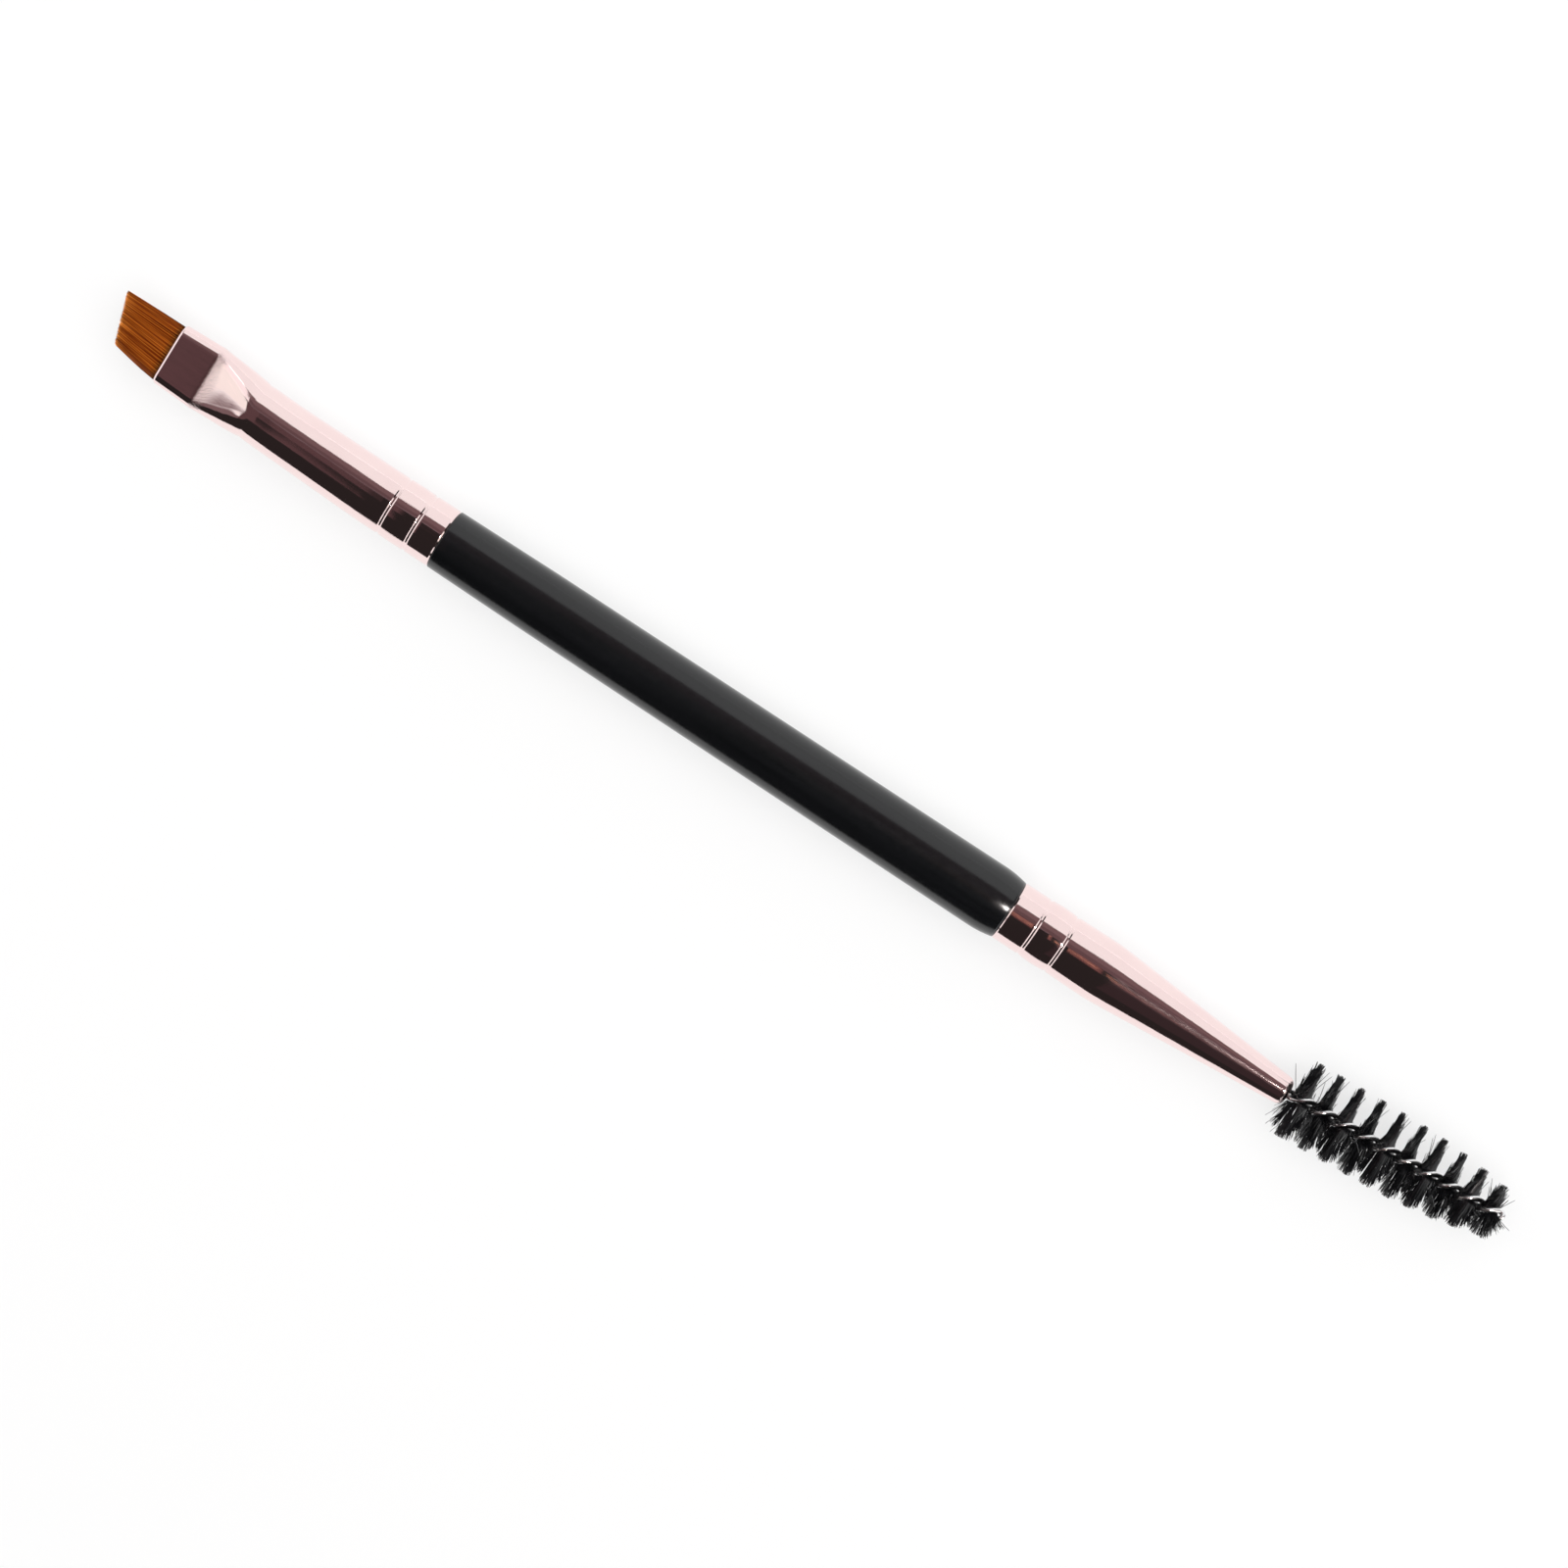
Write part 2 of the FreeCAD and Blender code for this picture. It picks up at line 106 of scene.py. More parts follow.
# Small pimple that the press left past the facet's lower side
PIMPLE_PLACE = (9.95, -0.75)
PIMPLE_REACH = (0.7, 0.36)
PIMPLE_HEIGHT = 0.1

# Tuft
TUFT_LENGTH = 6.95
TUFT_SLANT = math.radians(17.3)
TUFT_TIP_WIDTH = 5.5
TUFT_TIP_SHIFT = 0.85
TUFT_TIP_THICKNESS = 0.7
TUFT_HAIRS = 3800
TUFT_HAIR_RADIUS = 0.031
# Root of the tuft: it fills the mouth of the ferrule and is gripped a little way in
TUFT_MOUTH_SHIFT = PRESSED[0][3]
TUFT_MOUTH_FLAT = PRESSED[0][2]
TUFT_MOUTH_HALF = 1.02
TUFT_ROOT_DEPTH = 1.5
# Part of the hairs that fill the rounded sides, and how far the others reach into these
SIDE_HAIRS = 0.2
SIDE_OVERLAP = 0.7
# Plain core inside the hairs: its thickness and length as shares of theirs, and its own root
CORE_FILL = 0.86
CORE_ROOT_DEPTH = 1.4
CORE_RINGS = 8

# Spiral brush
LEAN = math.radians(3.3)
PITCH = 5.02
FIRST_ROW = 1.48
FIRST_ROW_DIP = math.radians(11.5)
# Wire: a leg's distance from the axis in the cone and in the hair, and where it changes over
WIRE_RADIUS = 0.3
STEM_OFFSET = 0.33
HAIR_OFFSET = 0.43
OFFSET_CHANGE = (0.0, 1.6)
TWIST_END = 25.12
LOOP_LENGTH = 0.5
LOOP_CROOK = 0.28
STEM_LENGTH = 14.0
STEPS_IN_A_TURN = 32
# Hair: where it starts and ends, its radius there, and how it is spread
HAIR_START = 0.35
HAIR_END = 25.1
HAIR_RADIUS = 4.46
HAIR_SHOULDER = 4.36
TAPER_START = 11.5
HAIR_TIP_RADIUS = 2.8
NYLON_HAIRS = 3000
NYLON_RADIUS = 0.036
HAIRS_IN_A_CLUMP = 7
HAIR_FAN = 0.5
STRAY_HAIRS = 0.06
END_PUSH = 0.4

# Stage and lamps, in metres
FLOOR_GLOW = 0.7
FLOOR_SIZE = 6.0
WORLD_COLOUR = (0.022, 0.018, 0.018, 1)
CANOPY_HEIGHT = 0.9
CARD_STEP = 0.004
MAROON = (0.081, 0.039, 0.043)
# Dim cards overhead: reach along the brush, reach across it, colour
CANOPY_CARDS = [
    ("far_card", (-1.2, 1.2), (0.52, 0.93), (0.15, 0.09, 0.095)),
    ("near_card", (-1.2, 1.2), (0.28, 0.52), (0.10, 0.055, 0.06)),
    ("near_edge_card", (-1.2, 0.05), (0.28, 0.33), (0.045, 0.045, 0.048)),
    ("flat_card", (-0.6, -0.215), (-0.52, 0.28), MAROON),
    ("tube_card", (-0.215, -0.20), (-0.02, 0.28), MAROON),
    ("copper_glow", (0.07, 0.14), (0.0, 0.28), (0.11, 0.04, 0.038)),
    ("copper_line_1", (0.07, 0.108), (0.20, 0.25), (0.36, 0.17, 0.13)),
    ("copper_line_2", (0.07, 0.102), (0.13, 0.165), (0.50, 0.23, 0.14)),
    ("copper_line_3", (0.08, 0.11), (0.06, 0.085), (0.25, 0.11, 0.08)),
    ("cone_line_1", (0.20, 0.262), (0.15, 0.185), (0.32, 0.13, 0.09)),
    ("cone_line_2", (0.215, 0.275), (0.08, 0.12), (0.55, 0.24, 0.14)),
    ("cone_line_3", (0.245, 0.30), (0.0, 0.03), (0.25, 0.12, 0.10)),
    ("cone_card", (0.27, 0.55), (-0.1, 0.28), (0.07, 0.035, 0.038)),
    ("low_cone_card", (0.25, 0.55), (-1.2, -0.1), (0.015, 0.006, 0.008)),
]
# Strips that fade the tube's card out along the brush, and the facet's panel towards -Y
FADE_STRIPS = 8
TUBE_FADE = (-0.20, -0.15)
TUBE_STRIP_PLACE = 0.13
TUBE_STRIP_WIDTH = 0.3
FACET_FADE = (-0.15, -0.27)
FACET_DIM = 0.17
FACET_DIM_TINT = (1, 0.65, 0.69)
FACET_DIM_WIDTH = 0.4
FACET_LIGHT_X = -0.6
FACET_LIGHT_Z = 0.63
FACET_LIGHT_HEIGHT = 0.54

# Camera: the photo's width is 1600 pixels at 9.81 to a millimetre
CAMERA_DISTANCE = 440.0
PHOTO_WIDTH = 1600 / 9.81
SENSOR_WIDTH = 36
NEAR_CLIP = 0.01
ROLL = math.radians(11.5)
SLOPE = math.radians(33.3)
AIM_ALONG = -1.39
AIM_BELOW = 1.89

rng = np.random.default_rng(7)


def add_mesh(name, vertices, faces, smooth=True):
    """Mesh object from points in millimetres."""
    mesh = bpy.data.meshes.new(name)
    mesh.from_pydata((np.asarray(vertices, float) * MM).tolist(), [], faces)
    mesh.validate()
    mesh.polygons.foreach_set("use_smooth", [smooth] * len(mesh.polygons))
    piece = bpy.data.objects.new(name, mesh)
    bpy.context.scene.collection.objects.link(piece)
    return piece


def weld(piece, distance=1e-6):
    """Merges points that coincide, and drops the faces that this closes up."""
    work = bmesh.new()
    work.from_mesh(piece.data)
    bmesh.ops.remove_doubles(work, verts=work.verts, dist=distance)
    bmesh.ops.dissolve_degenerate(work, edges=work.edges, dist=distance)
    bmesh.ops.recalc_face_normals(work, faces=work.faces)
    work.to_mesh(piece.data)
    work.free()
    return piece


def skin_rings(rings, closed):
    """Faces between rings of equally many points; closed joins the last ring to the first."""
    count = len(rings[0])
    faces = []
    last = len(rings) if closed else len(rings) - 1
    for k in range(last):
        here, ahead = k * count, (k + 1) % len(rings) * count
        for j in range(count):
            nxt = (j + 1) % count
            faces.append((here + j, here + nxt, ahead + nxt, ahead + j))
    return faces


def end_faces(rings):
    """The two faces that close an open row of rings."""
    count = len(rings[0])
    total = count * len(rings)
    return [tuple(range(count))[::-1], tuple(range(total - count, total))]


def lathe(name, profile, start, sides=160, closed=True):
    """Turned piece from a profile of (distance from start, radius)."""
    angles = np.linspace(0, math.tau, sides, endpoint=False)
    rings = []
    for along, radius in profile:
        ring = np.empty((sides, 3))
        ring[:, 0] = start + along
        ring[:, 1] = radius * np.cos(angles)
        ring[:, 2] = AXIS_HEIGHT + radius * np.sin(angles)
        rings.append(ring)
    return add_mesh(name, np.concatenate(rings), skin_rings(rings, closed))


def straight(start, end, count):
    """Evenly spaced points from one (distance, radius) to another, without the last."""
    return [tuple(np.add(start, np.subtract(end, start) * k / count)) for k in range(count)]


def groove(middle, radius):
    """Rolled groove: two slanting flanks with soft edges, and a flat floor between them."""
    flank = [(1.0, 0.0), (0.93, 0.04), (0.86, 0.17), (0.67, 0.5), (0.48, 0.83), (0.41, 0.96), (0.34, 1.0)]
    half = GROOVE_WIDTH / 2
    near = [(middle - reach * half, radius - dip * GROOVE_DEPTH) for reach, dip in flank]
    far = [(middle + reach * half, radius - dip * GROOVE_DEPTH) for reach, dip in reversed(flank)]
    return near + far


def rim(end, radius, way):
    """Bevelled rim of a ferrule: way is 1 where it faces along the brush and -1 where it faces back."""
    slope = [(end - way * (RIM_WIDTH + 0.03), radius)]
    for share in (0, 0.15, 0.5, 0.85, 1):
        slope.append((end - way * RIM_WIDTH * (1 - share), radius - RIM_DEPTH * share))
    return slope[::way]


def raised_band(start, end, radius, bulge, steps=14):
    """Band between two grooves, slightly swollen."""
    points = []
    for k in range(1, steps):
        share = k / steps
        points.append((start + (end - start) * share, radius + bulge * math.sin(math.pi * share)))
    return points


def grooved_collar(near, far, radius, bulge):
    near_groove, far_groove = groove(near, radius), groove(far, radius)
    band = raised_band(near_groove[-1][0], far_groove[0][0], radius, bulge)
    return near_groove + band + far_groove


def profile_arc(centre, radius, from_angle, to_angle, steps=6):
    """Arc in a profile, by angles in degrees from the direction along the brush."""
    angles = np.radians(np.linspace(from_angle, to_angle, steps + 1))
    return [(centre[0] + radius * math.cos(a), centre[1] + radius * math.sin(a)) for a in angles]


def make_handle():
    end = HANDLE_LENGTH
    soft = 0.12
    profile = [(-TENON_LENGTH, 0.001), (-TENON_LENGTH, TENON_RADIUS), (0.0, TENON_RADIUS)]
    profile += profile_arc((soft, NECK_RADIUS - soft), soft, 180, 90, 4)
    taper = [(soft, NECK_RADIUS), (NECK_LENGTH, WAIST_RADIUS), (end - SHOULDER_LENGTH, BELLY_RADIUS)]
    along = np.linspace(soft, end - SHOULDER_LENGTH, 60)[1:]
    places, radii = zip(*taper)
    profile += [(x, float(np.interp(x, places, radii))) for x in along]
    drop = BELLY_RADIUS - SHOULDER_RADIUS
    for k in range(1, 13):
        share = k / 12
        profile.append((end - SHOULDER_LENGTH * (1 - share), BELLY_RADIUS - drop * share ** 2))
    profile += [(end, TENON_RADIUS), (end + TENON_LENGTH, TENON_RADIUS), (end + TENON_LENGTH, 0.001)]
    piece = lathe("turned_handle", profile, HANDLE_START, closed=False)
    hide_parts("handle")
    return piece, "handle_lacquer"


def pressed_section(along, inset):
    """Half thickness, flat width and shift of the pressed ferrule at a station."""
    places, thick, flat, shift = (np.array(row) for row in zip(*PRESSED))
    # The table's corners are rounded by a mean over a window: tight at the crease, wide on the tube
    reach = 0.16 + 0.7 * min(max((along - 6) / 5, 0), 1) + 0.8 * min(max((along - 11.5) / 3, 0), 1)
    window = np.linspace(-reach, reach, 9) + along
    half = float(np.mean(np.interp(window, places, thick)))
    width = float(np.interp(along, places, flat))
    sideways = float(np.mean(np.interp(window, places, shift)))
    return half - inset, width, sideways


def pressed_ring(along, inset, per_round=40, per_flat=84):
    """One ring of the pressed ferrule; its facet swells towards the long edge of the tuft."""
    half, width, sideways = pressed_section(along, inset)
    # 1 on the facet and 0 away from it
    facet = min(max((along - 5) / 2, 0), 1) * min(max((10.4 - along) / 2, 0), 1)
    rise = 0.02 + 0.12 * facet
    skew = 1 - 0.3 * facet
    ring = []
    for side, start in ((1, -90), (-1, 90)):
        middle = sideways + side * width / 2
        for k in range(per_round + 1):
            angle = math.radians(start + 180 * k / per_round)
            ring.append((middle + half * math.cos(angle), half * math.sin(angle)))
        for k in range(1, per_flat):
            share = k / per_flat
            long_edge = share if side > 0 else 1 - share
            crown = rise * math.sin(math.pi * long_edge ** skew) * min(width, 4) / 4
            ring.append((middle - side * width * share, side * (half + crown)))
    points = np.array(ring)
    if inset < WALL:
        away = ((along - PIMPLE_PLACE[0]) / PIMPLE_REACH[0]) ** 2
        away = away + ((points[:, 0] - PIMPLE_PLACE[1]) / PIMPLE_REACH[1]) ** 2
        points[:, 1] += np.where(points[:, 1] > 0, PIMPLE_HEIGHT * np.exp(-away), 0)
    place = np.full(len(points), FLAT_MOUTH + along)
    return np.column_stack([place, points[:, 0], AXIS_HEIGHT + points[:, 1]])


def make_flat_ferrule():
    collar_start = FLAT_LENGTH - FLAT_COLLAR_LENGTH
    # The stations lie closest at the rim, the crease and the facet
    stations = [RIM_WIDTH * share for share in (0, 0.15, 0.5, 0.85, 1)] + [RIM_WIDTH + 0.03]
    stations += list(np.arange(0.4, 4.1, 0.3)) + list(np.arange(4.2, 5.3, 0.08))
    stations += list(np.arange(5.3, 12, 0.12)) + list(np.arange(12, 16, 0.25))
    stations += list(np.arange(16, collar_start, 0.8))
    rings = [pressed_ring(along, RIM_DEPTH * max(1 - along / RIM_WIDTH, 0)) for along in stations]
    # The collar keeps the points of the last pressed ring, so that one skin runs on into it
    last = pressed_ring(collar_start, 0)
    local = last[:, 1:] - (0, AXIS_HEIGHT)
    unit = local / np.linalg.norm(local, axis=1)[:, None]
    near, far = (FLAT_LENGTH - place for place in reversed(FLAT_GROOVES))
    radius = FLAT_COLLAR_RADIUS
    profile = straight((collar_start, radius), (near - GROOVE_WIDTH, radius), 4)
    profile += grooved_collar(near, far, radius, FLAT_BULGE)
    profile += [(far + GROOVE_WIDTH, radius), (FLAT_LENGTH - 0.5, radius)]
    profile += rim(FLAT_LENGTH, radius, 1)
    profile += [(FLAT_LENGTH, radius - WALL), (collar_start, radius - WALL)]
    for along, reach in profile:
        ring = np.column_stack([np.full(len(unit), FLAT_MOUTH + along), unit * reach])
        ring[:, 2] += AXIS_HEIGHT
        rings.append(ring)
    # Back inside to the mouth
    for along in (18.0, 14.0, 12.0, 10.6, 8.0, 6.0, 4.8, 4.6, 2.0, 0.2, 0.0):
        rings.append(pressed_ring(along, WALL))
    piece = add_mesh("pressed_ferrule", np.concatenate(rings), skin_rings(rings, True))
    weld(piece)
    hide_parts("angled_ferrule")
    return piece, "rose_gold"


def make_round_ferrule():
    length = ROUND_LENGTH
    radius = ROUND_COLLAR_RADIUS
    curl = LIP_RADIUS - HOLE_RADIUS
    near, far = ROUND_GROOVES
    profile = [(0.0, radius - WALL)]
    profile += rim(0.0, radius, -1)
    profile += [(0.5, radius), (near - GROOVE_WIDTH, radius)]
    profile += grooved_collar(near, far, radius, ROUND_BULGE)
    # A soft turn from the collar into the cone
    cone_end = length - curl
    slope = (LIP_RADIUS - CONE_RADIUS) / (cone_end - CONE_START)
    rise = (CONE_RADIUS - radius) / (CONE_START - far)
    for along in np.arange(far + 0.6, cone_end, 0.4):
        before = radius + rise * (along - far)
        after = CONE_RADIUS + slope * (along - CONE_START)
        gap = (before - after) / 2
        profile.append((along, (before + after) / 2 - math.sqrt(gap ** 2 + 0.0012)))
    profile += profile_arc((cone_end, HOLE_RADIUS), curl, 84, 20, 10)
    tight = 0.22
    profile += profile_arc((length - tight, HOLE_RADIUS + 0.02), tight, 10, -90, 5)
    profile += [(cone_end - 0.2, HOLE_RADIUS), (cone_end - 0.6, LIP_RADIUS - WALL)]
    profile += [(CONE_START, CONE_RADIUS - WALL)]
    piece = lathe("cone_ferrule", profile, HANDLE_END)
    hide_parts("spoolie_ferrule")
    return piece, "rose_gold"


def add_hairs(name, paths, radii, sides, smooth=True):
    """Hairs as thin tubes: paths is (hairs, points, 3) and radii is (hairs, points)."""
    hairs, points, _ = paths.shape
    along = np.gradient(paths, axis=1)
    along /= np.linalg.norm(along, axis=2, keepdims=True)
    chord = paths[:, -1] - paths[:, 0]
    helper = np.where(np.abs(chord[:, 2:3]) > np.abs(chord[:, 0:1]), [[1.0, 0, 0]], [[0, 0, 1.0]])
    first = np.cross(along, helper[:, None, :])
    first /= np.linalg.norm(first, axis=2, keepdims=True)
    second = np.cross(along, first)
    angles = np.linspace(0, math.tau, sides, endpoint=False)
    ring = first[:, :, None] * np.cos(angles)[:, None] + second[:, :, None] * np.sin(angles)[:, None]
    vertices = paths[:, :, None] + ring * radii[:, :, None, None]
    index = np.arange(hairs * points * sides).reshape(hairs, points, sides)
    turn = np.roll(index, -1, axis=2)
    quads = np.stack([index[:, :-1], turn[:, :-1], turn[:, 1:], index[:, 1:]], axis=-1).reshape(-1, 4)
    ends = np.concatenate([index[:, 0, ::-1], index[:, -1]])
    return add_mesh(name, vertices.reshape(-1, 3), quads.tolist() + ends.tolist(), smooth)


def make_tuft():
    """Loose hairs that run from the mouth to a slanted cut, over a plain core that closes the view."""
    count = TUFT_HAIRS
    half_flat = TUFT_MOUTH_FLAT / 2
    mouth_half = TUFT_MOUTH_HALF
    tip_half = TUFT_TIP_THICKNESS / 2 - 0.04
    low_tip = TUFT_TIP_SHIFT - TUFT_TIP_WIDTH / 2
    high_tip = TUFT_TIP_SHIFT + TUFT_TIP_WIDTH / 2
    # Roots, y0 and z0: near the skin of the bundle, on its two flats and round its two sides
    depth = 1 - 0.35 * rng.random(count) ** 2
    angle = rng.random(count) * math.tau
    across = rng.uniform(-1, 1, count)
    up = np.sign(rng.uniform(-1, 1, count)) * depth
    side = rng.random(count) < SIDE_HAIRS
    y0 = across * (half_flat + SIDE_OVERLAP)
    edge = np.clip((np.abs(y0) - half_flat) / mouth_half, 0, 1)
    z0 = up * mouth_half * np.sqrt(1 - edge ** 2)
    round_side = np.sign(across) * (half_flat + mouth_half * np.abs(np.cos(angle)) * depth)
    y0 = np.where(side, round_side, y0)
    z0 = np.where(side, mouth_half * np.sin(angle) * depth, z0)
    # Tips, y1 and z1, and how far each hair reaches past the mouth to the slanted cut
    share = y0 / (half_flat + mouth_half)
    y1 = TUFT_TIP_SHIFT + share * TUFT_TIP_WIDTH / 2 + rng.normal(0, 0.06, count)
    y1 = np.clip(y1, low_tip - 0.05, high_tip + 0.1)
    z1 = z0 / mouth_half * tip_half
    cut = np.minimum(rng.normal(0.03, 0.12, count), 0.24)
    reach = TUFT_LENGTH - (high_tip - y1) * math.tan(TUFT_SLANT) + cut
    # Straight inside the ferrule, and then eased over to the tip with a slight bend
    t = np.linspace(0, 1, 5)
    x = TUFT_ROOT_DEPTH - (reach[:, None] + TUFT_ROOT_DEPTH) * t
    bend = rng.normal(0, 0.03, (count, 2))
    arc = np.sin(math.pi * t)
    inside = np.minimum(TUFT_ROOT_DEPTH / (reach + TUFT_ROOT_DEPTH), 0.4)[:, None]
    ease = np.clip((t - inside) / (1 - inside), 0, 1) ** 1.2
    y = TUFT_MOUTH_SHIFT + y0[:, None] + (y1 - y0 - TUFT_MOUTH_SHIFT)[:, None] * ease + bend[:, :1] * arc
    z = z0[:, None] + (z1 - z0)[:, None] * ease + bend[:, 1:] * arc * 0.6
    paths = np.stack([FLAT_MOUTH + x, y, AXIS_HEIGHT + z], axis=2)
    radii = TUFT_HAIR_RADIUS * np.array([1, 1, 1, 0.95, 0.45]) * np.ones((count, 1))
    hairs = add_hairs("tuft_hairs", paths, radii, 4, smooth=False)
    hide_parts("angled_tuft")

    rings = []
    for share in np.linspace(0, CORE_FILL, CORE_RINGS):
        half = CORE_FILL * (mouth_half + (tip_half - mouth_half) * share)
        flat = TUFT_MOUTH_FLAT * (1 - share) + (TUFT_TIP_WIDTH - 2 * tip_half) * share
        middle = TUFT_MOUTH_SHIFT * (1 - share) + TUFT_TIP_SHIFT * share
        ring = []
        for side in (1, -1):
            for k in range(17):
                angle = math.radians(90 * (-side) + 180 * k / 16)
                y = middle + side * flat / 2 + half * math.cos(angle)
                full = TUFT_LENGTH - (high_tip - y) * math.tan(TUFT_SLANT)
                reach = share * full - (1 - share) * CORE_ROOT_DEPTH
                ring.append((FLAT_MOUTH - reach, y, AXIS_HEIGHT + half * math.sin(angle)))
        rings.append(np.array(ring))
    core = add_mesh("tuft_core", np.concatenate(rings), skin_rings(rings, False) + end_faces(rings))
    return [(hairs, "amber_hair"), (core, "amber_hair")]


def spiral_place(points):
    """Puts points of the spiral brush, measured from the mouth along its own axis, where it leans."""
    turned = np.asarray(points, float) @ np.array(Matrix.Rotation(LEAN, 3, "Z")).T
    return turned + (ROUND_MOUTH, 0, AXIS_HEIGHT)


def screw_angle(along):
    """Angle of the row of hair at a station: it falls along the brush, so the screw is left-handed."""
    return -math.tau * (np.asarray(along) - FIRST_ROW) / PITCH - FIRST_ROW_DIP


def hair_reach(along):
    """Radius of the trimmed tips."""
    along = np.asarray(along, float)
    level = HAIR_RADIUS + (HAIR_SHOULDER - HAIR_RADIUS) * along / TAPER_START
    span = HAIR_END - TAPER_START
    drop = HAIR_SHOULDER - HAIR_TIP_RADIUS
    sweep = (span ** 2 + drop ** 2) / (2 * drop)
    over = np.clip(along - TAPER_START, 0, span)
    round_off = HAIR_SHOULDER - sweep + np.sqrt(sweep ** 2 - over ** 2)
    return np.where(along < TAPER_START, level, round_off)


def make_nylon():
    """Each hair is caught in the middle between the wires and stands out on both sides."""
    count = NYLON_HAIRS
    along = np.sort(HAIR_START + (HAIR_END - HAIR_START) * (np.arange(count) + rng.random(count)) / count)
    angle = screw_angle(along)
    clump = np.arange(count) // HAIRS_IN_A_CLUMP
    clumps = clump[-1] + 1
    # Two columns, one for each side of a hair; a row fans out more where it points away from +Y
    fan = np.where(np.stack([-np.cos(angle), np.cos(angle)], axis=1) < 0, HAIR_FAN, 0.85 * HAIR_FAN)
    stray = rng.random((count, 2)) < STRAY_HAIRS
    # The lean along the brush and the turn round it are partly the clump's and partly the hair's own
    lean =0.65 * rng.uniform(-1, 1, (clumps, 2))[clump] + 0.5 * rng.uniform(-1, 1, (count, 2))
    lean = lean * fan + stray * rng.normal(0, 0.45, (count, 2))
    turn = 0.04 * rng.normal(0, 1, (clumps, 2))[clump] + 0.03 * rng.normal(0, 1, (count, 2))
    turn += stray * rng.normal(0, 0.12, (count, 2))
    trim = np.abs(rng.normal(0, 0.09, (count, 2))) + 0.5 * stray * rng.random((count, 2))
    # Loose first turn and a bushy last one
    loose = 1 + 1.9 * np.exp(-along / 1.1) + 0.8 * np.exp((along - HAIR_END) / 1.5)

    # t runs along a hair from tip to tip, and half says which of the two columns a point takes
    t = np.linspace(-1, 1, 9)
    half = (t > 0).astype(int)
    out = np.abs(t) ** 1.3
    radius = t * (hair_reach(along)[:, None] - trim[:, half])
    push = END_PUSH * np.exp((along - HAIR_END) / 0.8)
    x = along[:, None] + ((lean * loose[:, None])[:, half] + push[:, None]) * out
    angle = angle[:, None] + (turn * loose[:, None])[:, half] * out
    paths = np.stack([x, radius * np.cos(angle), radius * np.sin(angle)], axis=2)
    waver = rng.normal(0, 0.04, (count, 1, 3)) * np.sin(math.pi * t)[None, :, None]
    paths = spiral_place((paths + waver).reshape(-1, 3)).reshape(paths.shape)
    radii = NYLON_RADIUS * np.ones((count, len(t)))
    radii[:, [0, -1]] *= 0.6
    piece = add_hairs("nylon_hairs", paths, radii, 3, smooth=False)
    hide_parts("spoolie_bristles")
    return piece, "black_nylon"


def make_wire():
    """Soft wire doubled into a hairpin, both legs twisted round each other, with a crooked bend."""
    leg = np.arange(-STEM_LENGTH, TWIST_END, PITCH / STEPS_IN_A_TURN)
    offset = np.interp(leg, OFFSET_CHANGE, (STEM_OFFSET, HAIR_OFFSET))
    bend = np.linspace(0, math.pi, 17)
    crook = np.column_stack([
        TWIST_END + LOOP_LENGTH * np.sin(bend),
        LOOP_CROOK * np.sin(bend),
        HAIR_OFFSET * np.cos(bend),
    ])
    there = np.column_stack([leg, np.zeros(len(leg)), offset])
    back = there[::-1] * (1, 1, -1)
    flat = np.concatenate([there, crook, back])
    # The flat hairpin is twisted, and then a round tube follows its line without turning
    angle = screw_angle(flat[:, 0])
    line = np.column_stack([
        flat[:, 0],
        flat[:, 1] * np.cos(angle) - flat[:, 2] * np.sin(angle),
        flat[:, 1] * np.sin(angle) + flat[:, 2] * np.cos(angle),
    ])
    sides = 16
    turn = np.linspace(0, math.tau, sides, endpoint=False)
    along = np.gradient(line, axis=0)
    along /= np.linalg.norm(along, axis=1, keepdims=True)
    across = np.cross(along[0], (0, 1, 0))
    rings = []
    for point, direction in zip(line, along):
        across = across - direction * across.dot(direction)
        across /= np.linalg.norm(across)
        other = np.cross(direction, across)
        rings.append(point + WIRE_RADIUS * (np.outer(np.cos(turn), across) + np.outer(np.sin(turn), other)))
    faces = skin_rings(rings, False) + end_faces(rings)
    piece = add_mesh("twisted_wire", spiral_place(np.concatenate(rings)), faces)
    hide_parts("spoolie_wire")
    return piece, "steel_wire"


def new_material(name):
    material = bpy.data.materials.new(name)
    material.use_nodes = True
    nodes = material.node_tree.nodes
    return material, nodes, material.node_tree.links, nodes["Principled BSDF"]


def stretched_noise(nodes, links, scale, detail=3.0, roughness=0.6, where=None):
    """Noise in the object's own coordinates or the given ones, with its own scale along each axis."""
    coordinates = nodes.new("ShaderNodeTexCoord")
    mapping = nodes.new("ShaderNodeMapping")
    mapping.inputs["Scale"].default_value = scale
    noise = nodes.new("ShaderNodeTexNoise")
    noise.inputs["Scale"].default_value = 1.0
    noise.inputs["Detail"].default_value = detail
    noise.inputs["Roughness"].default_value = roughness
    links.new(where or coordinates.outputs["Object"], mapping.inputs["Vector"])
    links.new(mapping.outputs["Vector"], noise.inputs["Vector"])
    return noise.outputs["Fac"]


def remap(nodes, links, value, low, high, to_low, to_high):
    node = nodes.new("ShaderNodeMapRange")
    for socket, number in (("From Min", low), ("From Max", high), ("To Min", to_low), ("To Max", to_high)):
        node.inputs[socket].default_value = number
    links.new(value, node.inputs["Value"])
    return node.outputs["Result"]


